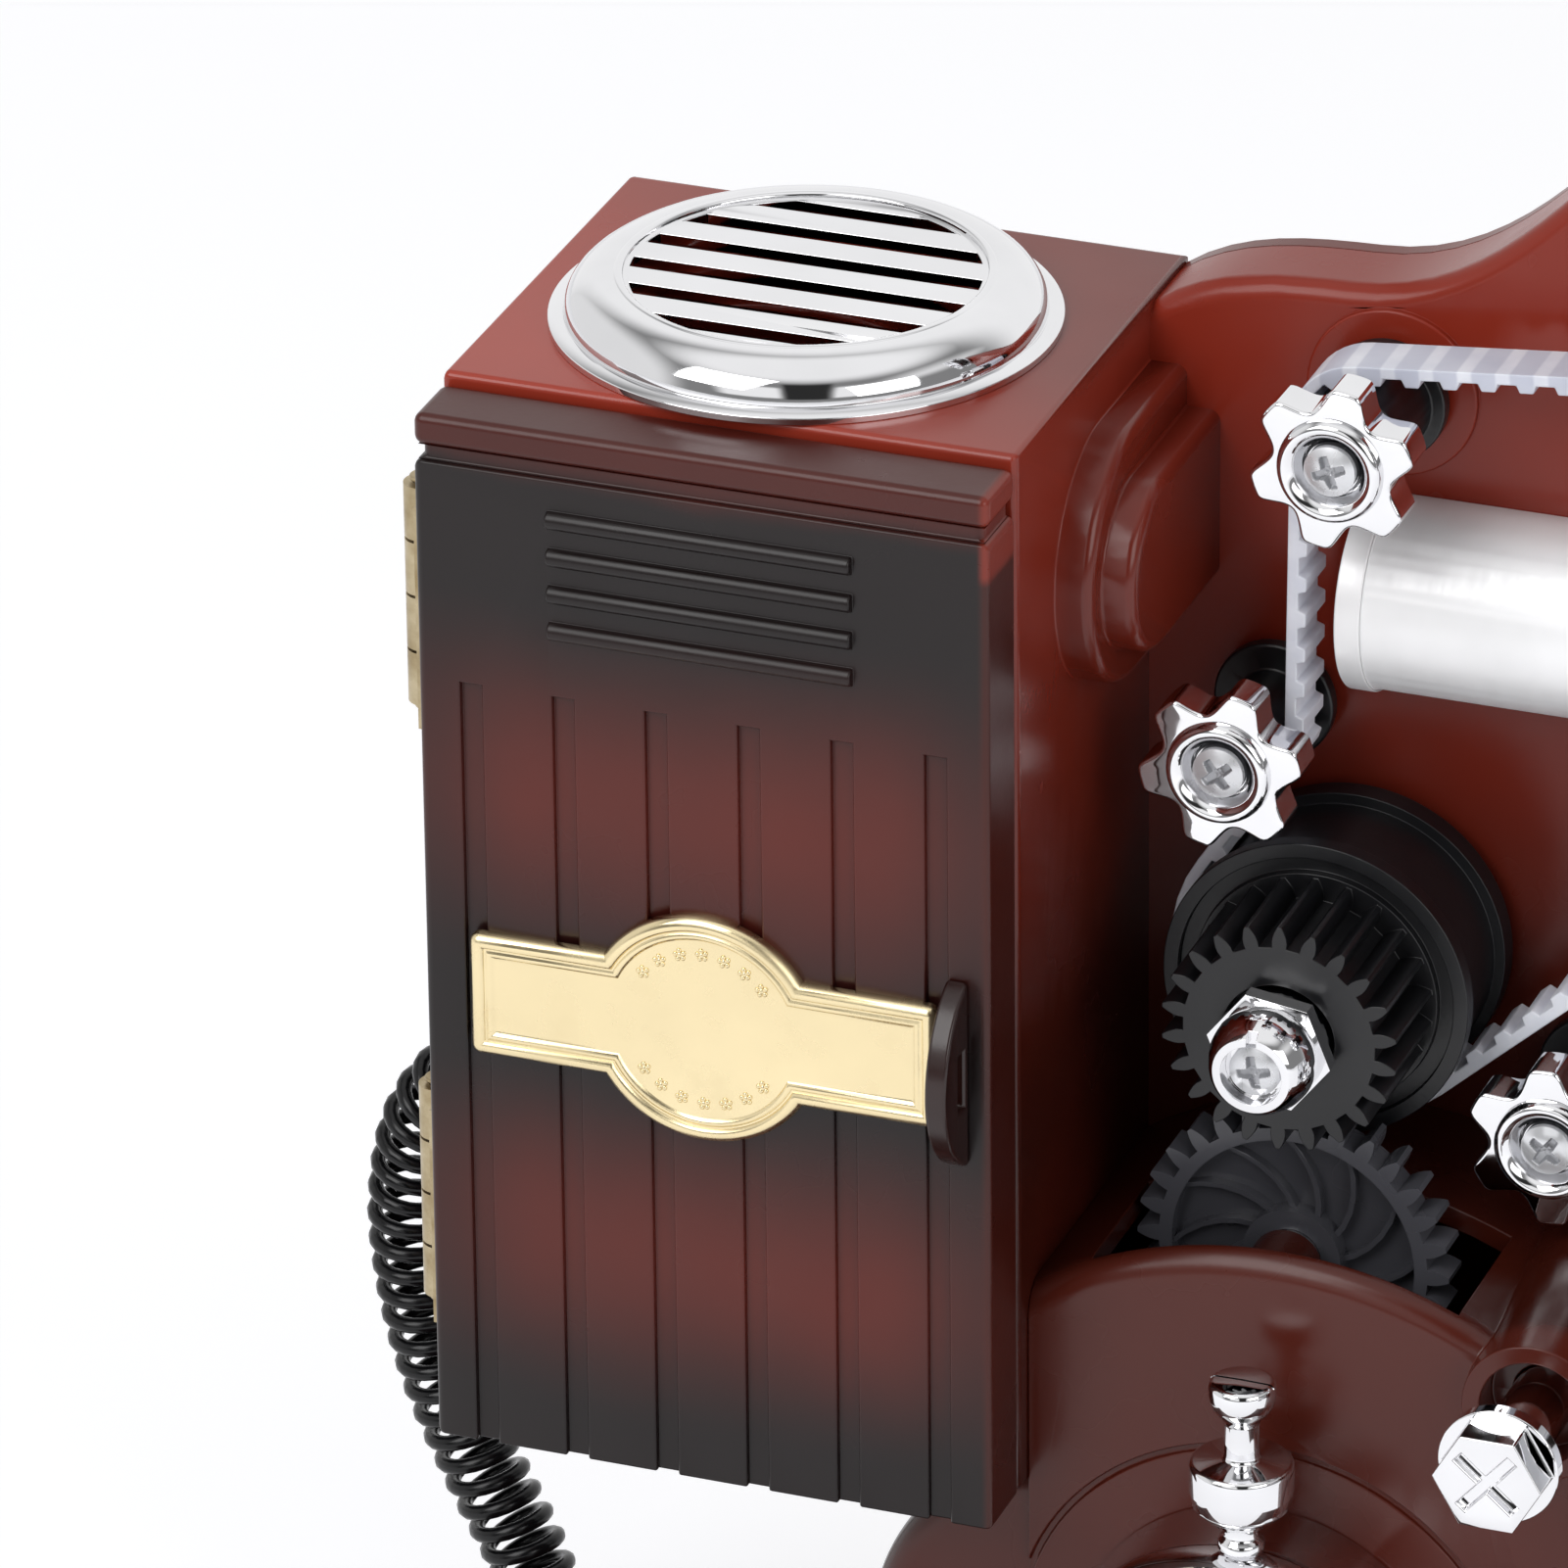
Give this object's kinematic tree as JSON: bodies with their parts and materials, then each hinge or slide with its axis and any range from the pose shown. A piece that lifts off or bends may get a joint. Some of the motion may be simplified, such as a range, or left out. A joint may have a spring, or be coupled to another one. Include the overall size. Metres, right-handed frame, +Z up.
{
  "type": "music box",
  "caption": "Film projector shaped music box: lamp house with hinged door, star rollers, toothed belt, gears, reels and a crank that turns a pinned cylinder against a comb.",
  "frame": {"origin": "middle of the footprint at the underside of the feet", "axes": "+Z up, -Y towards the crank and the lamp-house door, +X towards the lens and the reels"},
  "size_m": [0.2247, 0.116, 0.2801],
  "materials": {
    "dark_base": "semi-gloss dark brown moulding",
    "black_plastic": "satin black moulding",
    "rubber": "matte black rubber",
    "red_shell": "semi-gloss red-brown moulding",
    "chrome": "mirror chrome plating",
    "steel": "turned steel",
    "brass": "satin brass",
    "dark_door": "sunburst near black to red-brown",
    "gold": "pale gold plating",
    "dark_handle": "dark brown moulding",
    "satin_metal": "satin silver",
    "glass": "clear lens glass",
    "belt": "white translucent belt",
    "film": "wound dark film",
    "cord_black": "glossy black cord"
  },
  "bodies": {
    "chassis": {"base_plinth": "dark_base", "base_cover": "black_plastic", "rubber_feet": "rubber", "upper_reel_belt": "rubber", "lower_reel_belt": "rubber", "housing_shell": "red_shell", "frame_plate": "red_shell", "rear_cover": "red_shell", "lamp_stand": "red_shell", "lamp_house": "red_shell", "bearing_cap": "chrome", "oil_cup": "chrome", "tie_bolt": "chrome", "vent_grille": "chrome", "drum_nut": "chrome", "reel_nuts": "chrome", "case_screws": "steel", "fixed_axles": "steel", "cross_screws": "steel", "movement_comb": "steel", "hinge_fixed_leaves": "brass", "hinge_pins": "brass", "movement_bed": "brass", "lens_barrel": "satin_metal", "lens_nose": "satin_metal", "lens_glass": "glass", "film_belt": "belt", "cord": "cord_black", "cord_gland_lamp": "cord_black", "cord_gland_base": "cord_black"},
    "door": {"door": "dark_door", "name_plate": "gold", "door_handle": "dark_handle", "hinge_door_leaves": "brass"},
    "crank": {"crank_shaft": "steel", "crank_gear": "brass", "crank_arm": "chrome", "crank_nut": "chrome", "crank_pin": "steel"},
    "grip": {"crank_grip": "dark_handle"},
    "idler": {"idler_gear": "black_plastic"},
    "drum": {"drum_gear": "black_plastic"},
    "cylinder": {"pin_cylinder": "brass", "cylinder_pinion": "steel"},
    "roller_1": {"star_1": "chrome", "pulley_1": "black_plastic"},
    "roller_2": {"star_2": "chrome", "pulley_2": "black_plastic"},
    "roller_3": {"star_3": "chrome", "pulley_3": "black_plastic"},
    "roller_4": {"star_4": "chrome", "pulley_4": "black_plastic"},
    "roller_5": {"star_5": "chrome", "pulley_5": "black_plastic"},
    "upper_reel": {"upper_reel": "satin_metal", "upper_film": "film"},
    "lower_reel": {"lower_reel": "satin_metal", "lower_film": "film"}
  },
  "joints": [
    {"name": "door_swing", "type": "hinge", "parent": "chassis", "child": "door", "pos_m": [-0.092, -0.0096, 0.1373], "axis": [0, 0, -1], "range_deg": [0, 165]},
    {"name": "crank_turn", "type": "hinge", "parent": "chassis", "child": "crank", "pos_m": [-0.0072, 0, 0.06396], "axis": [0, 1, 0], "continuous": true},
    {"name": "idler_turn", "type": "hinge", "parent": "chassis", "child": "idler", "pos_m": [-0.0093, 0, 0.1039], "axis": [0, 1, 0], "continuous": true},
    {"name": "drum_turn", "type": "hinge", "parent": "chassis", "child": "drum", "pos_m": [-0.0093, 0, 0.1299], "axis": [0, 1, 0], "continuous": true},
    {"name": "cylinder_turn", "type": "hinge", "parent": "chassis", "child": "cylinder", "pos_m": [0.01029, 0, 0.03597], "axis": [0, 1, 0], "continuous": true},
    {"name": "roller_1_turn", "type": "hinge", "parent": "chassis", "child": "roller_1", "pos_m": [-0.0071, 0, 0.187], "axis": [0, 1, 0], "continuous": true},
    {"name": "roller_2_turn", "type": "hinge", "parent": "chassis", "child": "roller_2", "pos_m": [-0.0181, 0, 0.1534], "axis": [0, 1, 0], "continuous": true},
    {"name": "roller_3_turn", "type": "hinge", "parent": "chassis", "child": "roller_3", "pos_m": [0.0154, 0, 0.1185], "axis": [0, 1, 0], "continuous": true},
    {"name": "roller_4_turn", "type": "hinge", "parent": "chassis", "child": "roller_4", "pos_m": [0.0309, 0, 0.1904], "axis": [0, 1, 0], "continuous": true},
    {"name": "roller_5_turn", "type": "hinge", "parent": "chassis", "child": "roller_5", "pos_m": [0.0309, 0, 0.1538], "axis": [0, 1, 0], "continuous": true},
    {"name": "upper_reel_turn", "type": "hinge", "parent": "chassis", "child": "upper_reel", "pos_m": [0.0645, 0, 0.2501], "axis": [0, 1, 0], "continuous": true},
    {"name": "lower_reel_turn", "type": "hinge", "parent": "chassis", "child": "lower_reel", "pos_m": [0.0645, 0, 0.1011], "axis": [0, 1, 0], "continuous": true},
    {"name": "grip_turn", "type": "hinge", "parent": "crank", "child": "grip", "pos_m": [-0.0072, 0, 0.03396], "axis": [0, 1, 0], "continuous": true}
  ],
  "couplings": [
    {"joint": "idler_turn", "follows": "crank_turn", "ratio": -1.6667},
    {"joint": "drum_turn", "follows": "crank_turn", "ratio": 2.2727},
    {"joint": "cylinder_turn", "follows": "crank_turn", "ratio": -3.125},
    {"joint": "roller_1_turn", "follows": "crank_turn", "ratio": 5.713},
    {"joint": "roller_2_turn", "follows": "crank_turn", "ratio": -8.5194},
    {"joint": "roller_4_turn", "follows": "crank_turn", "ratio": 5.3363},
    {"joint": "roller_5_turn", "follows": "crank_turn", "ratio": 5.3363},
    {"joint": "upper_reel_turn", "follows": "crank_turn", "ratio": 4.9007},
    {"joint": "lower_reel_turn", "follows": "crank_turn", "ratio": 4.9007}
  ]
}
